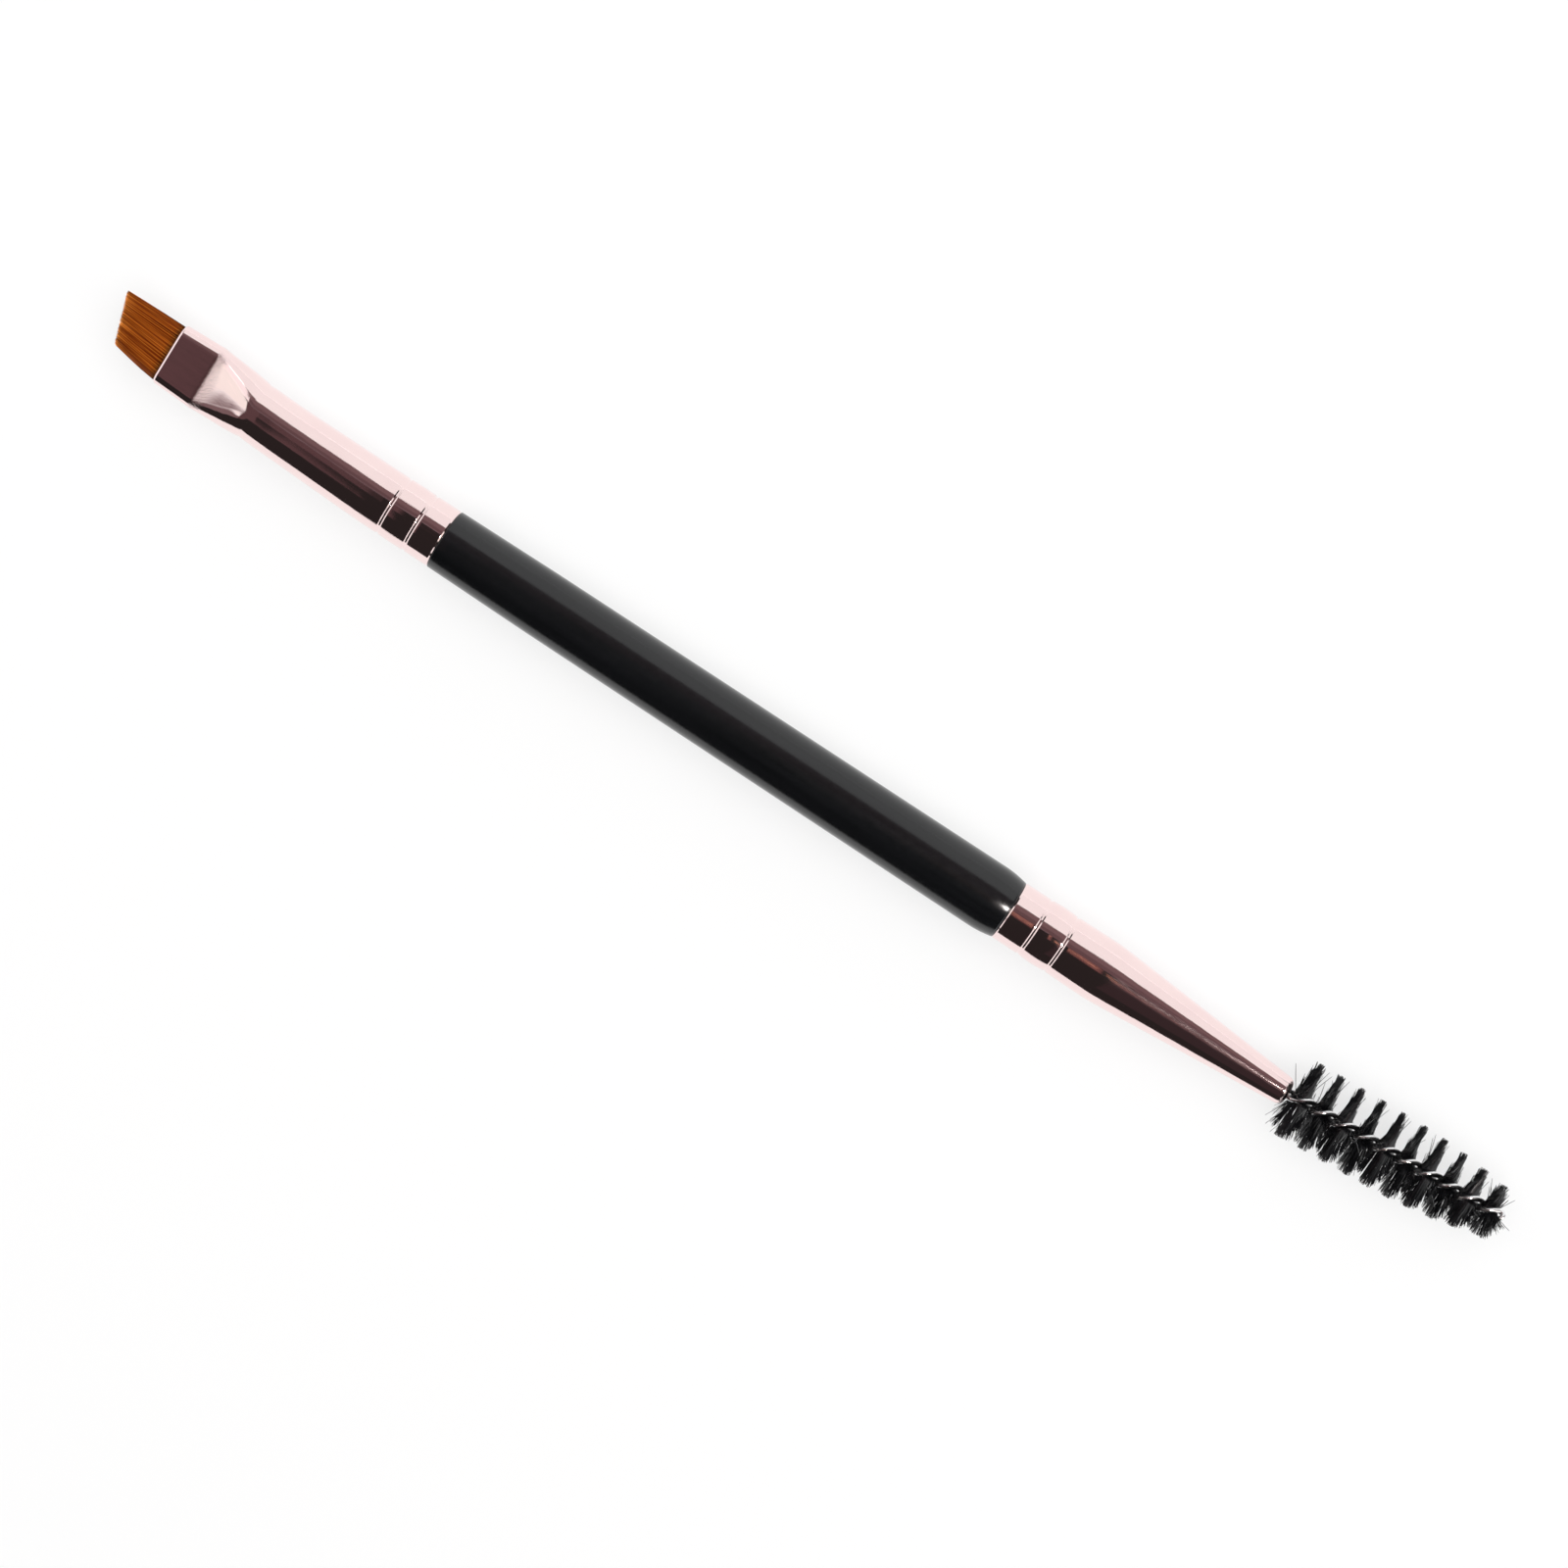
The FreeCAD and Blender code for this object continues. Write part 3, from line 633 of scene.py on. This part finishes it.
def ramp(nodes, links, value, *stops):
    """Colour ramp with (position, colour) stops."""
    node = nodes.new("ShaderNodeValToRGB")
    elements = node.color_ramp.elements
    elements[0].position, elements[0].color = stops[0][0], (*stops[0][1], 1)
    elements[1].position, elements[1].color = stops[-1][0], (*stops[-1][1], 1)
    for position, colour in stops[1:-1]:
        elements.new(position).color = (*colour, 1)
    links.new(value, node.inputs["Fac"])
    return node.outputs["Color"]


def arithmetic(nodes, links, operation, first, second):
    node = nodes.new("ShaderNodeMath")
    node.operation = operation
    links.new(first, node.inputs[0])
    links.new(second, node.inputs[1])
    return node.outputs[0]


def multiply(nodes, links, first, second):
    node = nodes.new("ShaderNodeMix")
    node.data_type = "RGBA"
    node.blend_type = "MULTIPLY"
    node.inputs["Factor"].default_value = 1.0
    links.new(first, node.inputs[6])
    links.new(second, node.inputs[7])
    return node.outputs[2]


def bump(nodes, links, shader, height, strength, distance):
    node = nodes.new("ShaderNodeBump")
    node.inputs["Strength"].default_value = strength
    node.inputs["Distance"].default_value = distance
    links.new(height, node.inputs["Height"])
    links.new(node.outputs["Normal"], shader.inputs["Normal"])
    return node


def rose_gold():
    """Bright anodised sheet with faint drawing marks along the tube."""
    material, nodes, links, shader = new_material("rose_gold_sheet")
    marks = stretched_noise(nodes, links, (160, 6000, 6000), detail=4)
    broad = stretched_noise(nodes, links, (260, 420, 420), detail=2)
    colour = ramp(nodes, links, broad, (0.3, (0.925, 0.74, 0.73)), (0.7, (0.945, 0.765, 0.75)))
    links.new(colour, shader.inputs["Base Color"])
    links.new(remap(nodes, links, marks, 0.3, 0.7, 0.05, 0.10), shader.inputs["Roughness"])
    shader.inputs["Metallic"].default_value = 1.0
    drawn = bump(nodes, links, shader, marks, 0.16, 0.00002)
    # The press left scratches where the flat end breaks into the facet
    scratches = stretched_noise(nodes, links, (2600, 8000, 8000), detail=3)
    coordinates = nodes.new("ShaderNodeTexCoord")
    split = nodes.new("ShaderNodeSeparateXYZ")
    links.new(coordinates.outputs["Object"], split.inputs["Vector"])
    reach = ((FLAT_MOUTH + CREASE - 0.4) * MM, (FLAT_MOUTH + CREASE + 1.6) * MM)
    place = remap(nodes, links, split.outputs["X"], *reach, 0, 1)
    where = ramp(nodes, links, place, (0.0, (0, 0, 0)), (0.2, (1, 1, 1)), (0.45, (0.9, 0.9, 0.9)),
                 (1.0, (0, 0, 0)))
    scratched = bump(nodes, links, shader, scratches, 0.8, 0.00006)
    links.new(remap(nodes, links, where, 0, 1, 0, 0.8), scratched.inputs["Strength"])
    links.new(drawn.outputs["Normal"], scratched.inputs["Normal"])
    return material


def handle_lacquer():
    """Black lacquer over fine wood grain that runs along the handle."""
    material, nodes, links, shader = new_material("black_lacquer")
    grain = stretched_noise(nodes, links, (60, 1500, 1500), detail=5)
    peel = stretched_noise(nodes, links, (1400, 1400, 1400), detail=2)
    colour = ramp(nodes, links, grain, (0.3, (0.003, 0.0035, 0.004)), (0.7, (0.0055, 0.006, 0.007)))
    links.new(colour, shader.inputs["Base Color"])
    links.new(remap(nodes, links, peel, 0.3, 0.7, 0.17, 0.22), shader.inputs["Roughness"])
    shader.inputs["Specular IOR Level"].default_value = 0.58
    bump(nodes, links, shader, peel, 0.10, 0.00003)
    return material


def amber_hair():
    """Amber hair in fine streaks, with painted shade where it leaves the ferrule's mouth and painted light,
    for light through the thin tips, at the cut.
    """
    material, nodes, links, shader = new_material("amber_hair")
    coordinates = nodes.new("ShaderNodeTexCoord")
    split = nodes.new("ShaderNodeSeparateXYZ")
    links.new(coordinates.outputs["Object"], split.inputs["Vector"])
    # The streaks run along the hairs, so they follow the tuft's fan from the mouth to the tips
    ends = (FLAT_MOUTH * MM, (FLAT_MOUTH - TUFT_LENGTH) * MM)
    middle = remap(nodes, links, split.outputs["X"], *ends, TUFT_MOUTH_SHIFT * MM, TUFT_TIP_SHIFT * MM)
    half_width = TUFT_MOUTH_FLAT / 2 + PRESSED[0][1] - WALL
    spread = remap(nodes, links, split.outputs["X"], *ends, half_width * MM, TUFT_TIP_WIDTH / 2 * MM)
    aside = arithmetic(nodes, links, "SUBTRACT", split.outputs["Y"], middle)
    fan = nodes.new("ShaderNodeCombineXYZ")
    links.new(split.outputs["X"], fan.inputs["X"])
    links.new(arithmetic(nodes, links, "DIVIDE", aside, spread), fan.inputs["Y"])
    links.new(split.outputs["Z"], fan.inputs["Z"])
    streaks = stretched_noise(nodes, links, (26, 34, 400), detail=3, where=fan.outputs["Vector"])
    colour = ramp(nodes, links, streaks, (0.39, (0.035, 0.005, 0.001)), (0.5, (0.175, 0.028, 0.002)),
                  (0.61, (0.60, 0.165, 0.018)))
    # Distance from the slanted cut
    slanted = nodes.new("ShaderNodeMath")
    slanted.operation = "MULTIPLY_ADD"
    slanted.inputs[1].default_value = math.tan(TUFT_SLANT)
    links.new(split.outputs["Y"], slanted.inputs[0])
    links.new(split.outputs["X"], slanted.inputs[2])
    top = TUFT_TIP_SHIFT + TUFT_TIP_WIDTH / 2
    cut = FLAT_MOUTH - TUFT_LENGTH + top * math.tan(TUFT_SLANT)
    # Painted light: the hairs grow brighter and paler towards the cut, standing in for light that shines
    # through their thin tips
    painted_tip_light = remap(nodes, links, slanted.outputs[0], (cut - 0.2) * MM, (cut + 1.3) * MM, 0, 1)
    painted_tip_light = ramp(nodes, links, painted_tip_light, (0.0, (2.4, 4.2, 9.0)), (0.25, (1.35, 1.6, 2.2)), (1.0, (1, 1, 1)))
    # Painted shade: the hairs darken over their last 0.75 mm before the ferrule's mouth
    root = remap(nodes, links, split.outputs["X"], (FLAT_MOUTH - 0.75) * MM, FLAT_MOUTH * MM, 0, 1)
    root = ramp(nodes, links, root, (0.0, (1, 1, 1)), (0.5, (0.7, 0.8, 1.0)), (1.0, (0.25, 0.4, 1.0)))
    colour = multiply(nodes, links, multiply(nodes, links, colour, painted_tip_light), root)
    links.new(colour, shader.inputs["Base Color"])
    shader.inputs["Roughness"].default_value = 0.42
    shader.inputs["Specular IOR Level"].default_value = 0.14
    shader.inputs["Specular Tint"].default_value = (1.0, 0.55, 0.25, 1)
    return material


def black_nylon():
    material, nodes, links, shader = new_material("black_nylon")
    streaks = stretched_noise(nodes, links, (900, 900, 900), detail=2)
    colour = ramp(nodes, links, streaks, (0.3, (0.004, 0.004, 0.005)), (0.7, (0.012, 0.012, 0.014)))
    links.new(colour, shader.inputs["Base Color"])
    shader.inputs["Roughness"].default_value = 0.26
    shader.inputs["Specular IOR Level"].default_value = 0.65
    return material


def steel_wire():
    material, nodes, links, shader = new_material("drawn_steel")
    marks = stretched_noise(nodes, links, (900, 2500, 2500), detail=3)
    colour = ramp(nodes, links, marks, (0.3, (0.80, 0.80, 0.81)), (0.7, (0.93, 0.93, 0.93)))
    links.new(colour, shader.inputs["Base Color"])
    shader.inputs["Metallic"].default_value = 1.0
    links.new(remap(nodes, links, marks, 0.3, 0.7, 0.18, 0.27), shader.inputs["Roughness"])
    return material


def set_glue():
    material, nodes, links, shader = new_material("set_glue")
    cloud = stretched_noise(nodes, links, (700, 700, 700), detail=3)
    colour = ramp(nodes, links, cloud, (0.3, (0.48, 0.36, 0.18)), (0.7, (0.64, 0.52, 0.30)))
    links.new(colour, shader.inputs["Base Color"])
    shader.inputs["Roughness"].default_value = 0.3
    return material


def pale_floor():
    """White that glows a little by itself, so that it stays bright and keeps the brush's soft shadow."""
    material, nodes, links, shader = new_material("pale_floor")
    shader.inputs["Base Color"].default_value = (0.9, 0.9, 0.9, 1)
    shader.inputs["Roughness"].default_value = 1.0
    shader.inputs["Specular IOR Level"].default_value = 0.0
    path = nodes.new("ShaderNodeLightPath")
    glow = nodes.new("ShaderNodeEmission")
    glow.inputs["Color"].default_value = (1, 1, 1, 1)
    # The view, the reflections and what is seen through the glue all get the same floor
    seen = path.outputs["Is Camera Ray"]
    for kind in ("Is Glossy Ray", "Is Transmission Ray"):
        either = nodes.new("ShaderNodeMath")
        either.operation = "MAXIMUM"
        links.new(seen, either.inputs[0])
        links.new(path.outputs[kind], either.inputs[1])
        seen = either.outputs[0]
    share = nodes.new("ShaderNodeMath")
    share.operation = "MULTIPLY"
    share.inputs[1].default_value = FLOOR_GLOW
    links.new(seen, share.inputs[0])
    mix = nodes.new("ShaderNodeMixShader")
    links.new(share.outputs[0], mix.inputs["Fac"])
    links.new(shader.outputs[0], mix.inputs[1])
    links.new(glow.outputs[0], mix.inputs[2])
    output = next(n for n in nodes if n.type == "OUTPUT_MATERIAL")
    links.new(mix.outputs[0], output.inputs["Surface"])
    return material


def make_floor():
    half = FLOOR_SIZE / 2 / MM
    corners = [(-half, -half, 0), (half, -half, 0), (half, half, 0), (-half, half, 0)]
    floor = add_mesh("floor", corners, [(0, 1, 2, 3)], smooth=False)
    floor.data.materials.append(pale_floor())


def add_panel(name, place, aim, width, height, radiance, colour=(1, 1, 1), glossy=True, diffuse=True):
    """Rectangular lamp, in metres, that faces a point. Radiance 1 shows white in a mirror."""
    data = bpy.data.lights.new(name, "AREA")
    data.shape = "RECTANGLE"
    data.size = width
    data.size_y = height
    data.energy = radiance * math.pi * width * height
    data.color = colour
    lamp = bpy.data.objects.new(name, data)
    place = Vector(place)
    lamp.location = place
    lamp.rotation_euler = (Vector(aim) - place).to_track_quat("-Z", "Y").to_euler()
    lamp.visible_camera = False
    lamp.visible_glossy = glossy
    lamp.visible_diffuse = diffuse
    bpy.context.scene.collection.objects.link(lamp)
    return lamp


def add_facet_panel(name, y, width, radiance, colour, diffuse=False):
    """One part of the light that the pressed facet mirrors; it faces along the brush."""
    place = (FACET_LIGHT_X, y, FACET_LIGHT_Z)
    aim = (0, y, FACET_LIGHT_Z)
    return add_panel(name, place, aim, width, FACET_LIGHT_HEIGHT, radiance, colour, diffuse=diffuse)


def light_scene():
    world =bpy.data.worlds.new("studio")
    world.use_nodes = True
    background = world.node_tree.nodes["Background"]
    background.inputs["Color"].default_value = WORLD_COLOUR
    background.inputs["Strength"].default_value = 1.0
    bpy.context.scene.world = world
    # Long white panel beside the brush, on the side of the long edge of the tuft
    add_panel("side_panel", (0, 0.62, 0.29), (0, 0, 0.29), 0.9, 0.6, 0.95)
    # Low ends of the light tent, which the rims and grooves catch
    add_panel("tuft_end_panel", (-0.75, -0.28, 0.225), (0, -0.28, 0.225), 1.25, 0.45, 1.0)
    add_panel("spiral_end_panel", (0.75, -0.28, 0.225), (0, -0.28, 0.225), 1.25, 0.45, 1.0)
    # Higher parts: one for the rolled lip, and one for the pressed facet that fades towards -Y
    add_panel("lip_panel", (0.75, 0.15, 0.76), (0, 0.15, 0.76), 0.6, 0.62, 1.0, (1, 0.96, 0.9))
    add_panel("facet_edge_panel", (-0.61, 0.66, 0.84), (0, 0.66, 0.84), 0.7, 0.46, 0.93, diffuse=False)
    add_facet_panel("facet_panel", 0.08, 0.46, 1.0, (1, 0.99, 0.95), diffuse=True)
    steps = np.linspace(*FACET_FADE, FADE_STRIPS + 1)
    for k, (y0, y1) in enumerate(zip(steps, steps[1:])):
        share = (k + 0.5) / FADE_STRIPS
        colour = [1 - (1 - FACET_DIM * part) * share for part in FACET_DIM_TINT]
        add_facet_panel(f"facet_strip_{k}", (y0 + y1) / 2, y0 - y1, 1.0, colour)
    y = FACET_FADE[1] - FACET_DIM_WIDTH / 2
    add_facet_panel("facet_dim_panel", y, FACET_DIM_WIDTH, FACET_DIM, FACET_DIM_TINT)
    # Dim cards of the canopy, seen only as the dark reds and coppers of the metal
    # Each hangs a little higher than the last: of two cards in one plane only one would be seen
    for k, (name, (x0, x1), (y0, y1), colour) in enumerate(CANOPY_CARDS):
        x, y, z = (x0 + x1) / 2, (y0 + y1) / 2, CANOPY_HEIGHT + CARD_STEP * k
        add_panel(name, (x, y, z), (x, y, 0), x1 - x0, y1 - y0, 1.0, colour, diffuse=False)
    steps = np.linspace(*TUBE_FADE, FADE_STRIPS + 1)
    for k, (x0, x1) in enumerate(zip(steps, steps[1:])):
        share = 1 - (k + 0.5) / FADE_STRIPS
        colour = [share * part for part in MAROON]
        x, y, z = (x0 + x1) / 2, TUBE_STRIP_PLACE, CANOPY_HEIGHT
        name = f"tube_strip_{k}"
        add_panel(name, (x, y, z), (x, y, 0), x1 - x0, TUBE_STRIP_WIDTH, 1.0, colour, diffuse=False)
    # Small lamp that gives the handle's shoulder its highlight
    add_panel("small_lamp", (0.34, 0.12, 0.62), (0, 0, 0), 0.09, 0.09, 110, (1, 0.94, 0.91), diffuse=False)
    # Overhead light for everything that isn't a mirror
    add_panel("overhead", (0.1, 0.25, 1.1), (0, 0, 0), 1.6, 1.6, 2.3, glossy=False)


def add_camera():
    """The photograph looks down on the brush, which slopes across it and is rolled a little."""
    up_image = Vector((0, math.cos(ROLL), -math.sin(ROLL)))
    to_camera = Vector((0, math.sin(ROLL), math.cos(ROLL)))
    along = Vector((1, 0, 0))
    right = along * math.cos(SLOPE) + up_image * math.sin(SLOPE)
    up = up_image * math.cos(SLOPE) - along * math.sin(SLOPE)
    aim = Vector((AIM_ALONG, 0, AXIS_HEIGHT)) - up_image * AIM_BELOW
    place = (aim + to_camera * CAMERA_DISTANCE) * MM
    data = bpy.data.cameras.new("camera")
    data.sensor_width = SENSOR_WIDTH
    data.lens = SENSOR_WIDTH * CAMERA_DISTANCE / PHOTO_WIDTH
    data.clip_start = NEAR_CLIP
    camera = bpy.data.objects.new("camera", data)
    axes = Matrix((right, up, to_camera)).transposed().to_4x4()
    camera.matrix_world = Matrix.Translation(place) @ axes
    bpy.context.scene.collection.objects.link(camera)
    bpy.context.scene.camera = camera


slot_materials = {
    "handle_lacquer": handle_lacquer(),
    "rose_gold": rose_gold(),
    "amber_hair": amber_hair(),
    "steel_wire": steel_wire(),
    "black_nylon": black_nylon(),
    "clear_glue": set_glue(),
}
made = [make_handle(), make_flat_ferrule(), make_round_ferrule(), *make_tuft(), make_wire(), make_nylon()]
for piece, slot in made:
    piece.data.materials.append(slot_materials[slot])
    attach(piece, "root")

slot_of = {row["node"]: row["material_slot"] for row in frame["record"]["subparts"]}
for node, cad_object in frame["nodes"].items():
    cad_object.data.materials.clear()
    cad_object.data.materials.append(slot_materials[slot_of[node]])

make_floor()
light_scene()
add_camera()
bpy.context.scene.view_settings.view_transform = "Standard"
